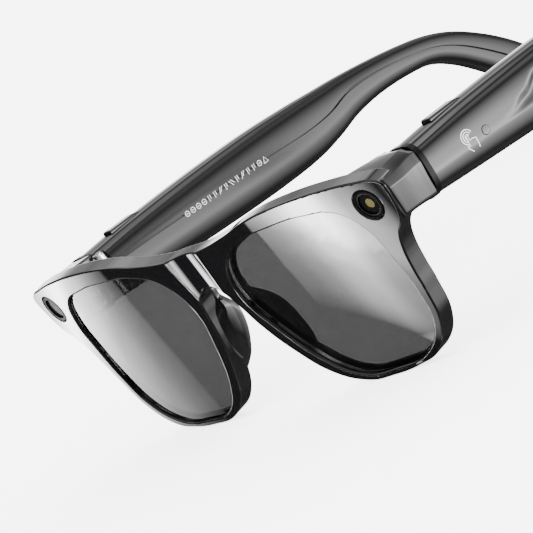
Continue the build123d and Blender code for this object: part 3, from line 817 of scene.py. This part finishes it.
def make_shapes(materials):
    dress(make_touch_sign(), "left_temple", "status_window", materials, finish="marking")
    dress(make_disc_rim(), "left_temple", "status_window", materials, finish="trim_plastic")
    dress(make_inner_marks(), "right_temple", "status_window", materials, finish="marking")
    dress(make_front_plate(), "front", "frame_plastic", materials, "front_frame")
    dress(make_brow_strip(), "front", "trim_plastic", materials, "brow_cover")
    for word, side in SIDES.items():
        dress(make_lens_seat(f"{word}_lens_seat", side), "front", "frame_plastic", materials)
        end_piece = make_end_piece(f"{word}_end_piece", side)
        dress(end_piece, "front", "frame_plastic", materials, f"{word}_end_piece_cover")
        pad = make_nose_pad(f"{word}_pad_form", side)
        dress(pad, "front", "frame_plastic", materials, f"{word}_nose_pad")
        temple = make_temple(f"{word}_temple_skin", side)
        open_temple(temple, side)
        dress(temple, f"{word}_temple", "temple_plastic", materials,
              f"{word}_temple_shell", f"{word}_temple_cover")


# ---------------------------------------------------------------- camera, light and floor
SENSOR_WIDTH = 36.0
FLOOR_REACH, FLOOR_GLOW = 12.0, 3.0
WHITE_STRENGTH = 4.2


def add_camera():
    """A camera that circles the target by azimuth and elevation and is rolled about its axis."""
    a, e, roll = CAMERA_AZIMUTH, CAMERA_ELEVATION, CAMERA_ROLL
    back = Vector((math.sin(a) * math.cos(e), -math.cos(a) * math.cos(e), math.sin(e)))
    level = Vector((math.cos(a), math.sin(a), 0))
    upright = back.cross(level)
    right = level * math.cos(roll) + upright * math.sin(roll)
    up = upright * math.cos(roll) - level * math.sin(roll)
    data = bpy.data.cameras.new("camera")
    data.lens, data.sensor_width = CAMERA_LENS, SENSOR_WIDTH
    data.clip_end = 20.0
    camera = bpy.data.objects.new("camera", data)
    place = Matrix((right, up, back)).transposed().to_4x4()
    place.translation = CAMERA_TARGET + back * CAMERA_DISTANCE
    camera.matrix_world = place
    bpy.context.collection.objects.link(camera)
    bpy.context.scene.camera = camera


def add_floor():
    """A wide pale floor that glows, so that it takes little shadow, and that glossy rays don't see."""
    mesh = bpy.data.meshes.new("floor")
    reach = FLOOR_REACH
    corners = [(-reach, -reach, 0), (reach, -reach, 0), (reach, reach, 0), (-reach, reach, 0)]
    mesh.from_pydata(corners, [], [(0, 1, 2, 3)])
    floor = bpy.data.objects.new("floor", mesh)
    bpy.context.collection.objects.link(floor)
    material, _, _ = new_material("floor", (0.9, 0.9, 0.9), 0.9, Specular_IOR_Level=0.0,
                                  Emission_Strength=FLOOR_GLOW, Emission_Color=(1, 1, 1, 1))
    mesh.materials.append(material)
    floor.visible_glossy = False


def ramp_of(tree, value, stops):
    """A brightness that follows stops of (value, brightness)."""
    low, high = stops[0][0], stops[-1][0]
    share = tree.add("ShaderNodeMapRange", From_Min=low, From_Max=high)
    tree.link(value, share.inputs["Value"])
    ramp = tree.add("ShaderNodeValToRGB")
    top = max(brightness for _, brightness in stops)
    elements = ramp.color_ramp.elements
    elements.remove(elements[0])
    for i, (place, brightness) in enumerate(stops):
        position = (place - low) / (high - low)
        element = elements[0] if i == 0 else elements.new(position)
        element.position = position
        element.color = (brightness / top,) * 3 + (1,)
    tree.link(share.outputs["Result"], ramp.inputs["Fac"])
    return math_node(tree, "MULTIPLY", ramp.outputs["Color"], top)


# Brightness of the studio that glossy surfaces reflect, as stops of (degrees, brightness). "ahead" is the
# heading of the ray from straight to -X towards -Y, "behind" from straight to +X towards +Y, and "rise" a
# height that slopes. The stops were fitted to highlights measured on the photograph, so this is not a
# neutral studio, and a likeness of the highlights says nothing about the shape.
NEAR_BOX = [(-30, 0.1), (0, 0.3), (4, 0.5), (8, 0.8), (12, 1.0), (16, 0.75), (18, 0.45), (20.4, 0.2),
            (20.8, 0.0)]
NEAR_BOX_HEIGHT = [(-30, 0.1), (-19, 1.5), (-17.5, 2.2), (-16.5, 3.2), (-15.5, 6.5), (-14.6, 18), (-14.1, 45),
                   (-13.5, 20), (-12, 6), (-9, 3), (0, 1), (20, 0)]
FAR_BOX = [(34.2, 0.0), (34.4, 0.14), (36, 0.22), (38, 0.45), (40, 1.0), (42, 1.1), (44, 0.5), (46, 0.25),
           (48, 0.2), (50, 0.12), (51.5, 0.0)]
FAR_BOX_RISE = [(-12, 0.0), (-11.25, 0.0), (-11.15, 2.5), (-10.9, 8), (-10.4, 14), (-10.0, 28), (-9.7, 60),
                (-9.2, 70), (-8.6, 40), (-8.0, 5), (-7.6, 0.0)]
FAR_BOX_SLOPE = 0.24
BROW_BOX = [(-50, 0.0), (-42, 1.0), (-22, 1.0), (-14, 0.0)]
BROW_BOX_HEIGHT = [(-8, 0.0), (0, 5), (6, 5), (10, 1.5), (14, 0.8), (20, 0.6), (26, 0.5), (40, 0.0)]
STRIP = [(51.5, 0.0), (53, 4), (56, 11), (58, 21), (60, 27), (62, 21), (66, 8), (75, 2), (90, 0.5)]
STRIP_HEIGHT = [(-26, 0.1), (-19, 1.0), (-14, 1.0), (-8, 0.2), (0, 0.0)]
SIDE_BOX = [(0, 0.0), (14, 0.8), (24, 1.0), (56, 1.0), (66, 0.4), (100, 0.2), (130, 0.0)]
SIDE_BOX_HEIGHT = [(-60, 0.1), (-50, 0.2), (-42, 1.4), (-36, 2.7), (-24, 5.7), (-18, 8.3), (-12, 18), (-9, 13),
                   (-6, 10), (0, 6.4), (6, 4.5), (12, 2.7), (18, 1.5), (23, 0.2), (30, 0.0), (50, 0.0),
                   (54, 6), (60, 10), (72, 2)]
ALL_ROUND = [(-90, 0.3), (-60, 0.3), (-45, 0.05), (20, 0.05), (28, 0.8), (36, 2.5), (42, 2.0), (47, 0.5),
             (54, 0.5), (60, 2.0), (90, 2.0)]


def studio(tree):
    """The brightness seen along a reflected ray."""
    place = tree.add("ShaderNodeTexCoord")
    split = tree.add("ShaderNodeSeparateXYZ")
    tree.link(place.outputs["Generated"], split.inputs["Vector"])
    x, y, z = (split.outputs[axis] for axis in "XYZ")
    degrees = 180 / math.pi
    height = math_node(tree, "MULTIPLY", math_node(tree, "ARCSINE", z), degrees)
    minus_x, minus_y = (math_node(tree, "MULTIPLY", value, -1.0) for value in (x, y))
    ahead = math_node(tree, "MULTIPLY", math_node(tree, "ARCTAN2", minus_y, minus_x), degrees)
    behind = math_node(tree, "MULTIPLY", math_node(tree, "ARCTAN2", y, x), degrees)
    rise = math_node(tree, "ADD", height, math_node(tree, "MULTIPLY", ahead, FAR_BOX_SLOPE))
    boxes = [(ahead, NEAR_BOX, height, NEAR_BOX_HEIGHT), (ahead, FAR_BOX, rise, FAR_BOX_RISE),
             (ahead, STRIP, height, STRIP_HEIGHT), (behind, SIDE_BOX, height, SIDE_BOX_HEIGHT),
             (ahead, BROW_BOX, height, BROW_BOX_HEIGHT)]
    total = ramp_of(tree, height, ALL_ROUND)
    for across, width, up, tall in boxes:
        box = math_node(tree, "MULTIPLY", ramp_of(tree, across, width), ramp_of(tree, up, tall))
        total = math_node(tree, "ADD", total, box)
    return total


def add_world():
    """White all round for every ray but the glossy ones, which see the soft boxes instead."""
    world = bpy.data.worlds.new("studio")
    world.use_nodes = True
    tree = Nodes(world.node_tree)
    white = world.node_tree.nodes["Background"]
    white.inputs["Color"].default_value = (1, 1, 1, 1)
    white.inputs["Strength"].default_value = WHITE_STRENGTH
    boxes = tree.add("ShaderNodeBackground")
    tree.link(studio(tree), boxes.inputs["Strength"])
    choice, mix = tree.add("ShaderNodeLightPath"), tree.add("ShaderNodeMixShader")
    tree.link(choice.outputs["Is Glossy Ray"], mix.inputs["Fac"])
    tree.link(white.outputs["Background"], mix.inputs[1])
    tree.link(boxes.outputs["Background"], mix.inputs[2])
    tree.link(mix.outputs["Shader"], world.node_tree.nodes["World Output"].inputs["Surface"])
    bpy.context.scene.world = world


materials = all_materials()
finish_cad(materials)
make_shapes(materials)
add_camera()
add_floor()
add_world()
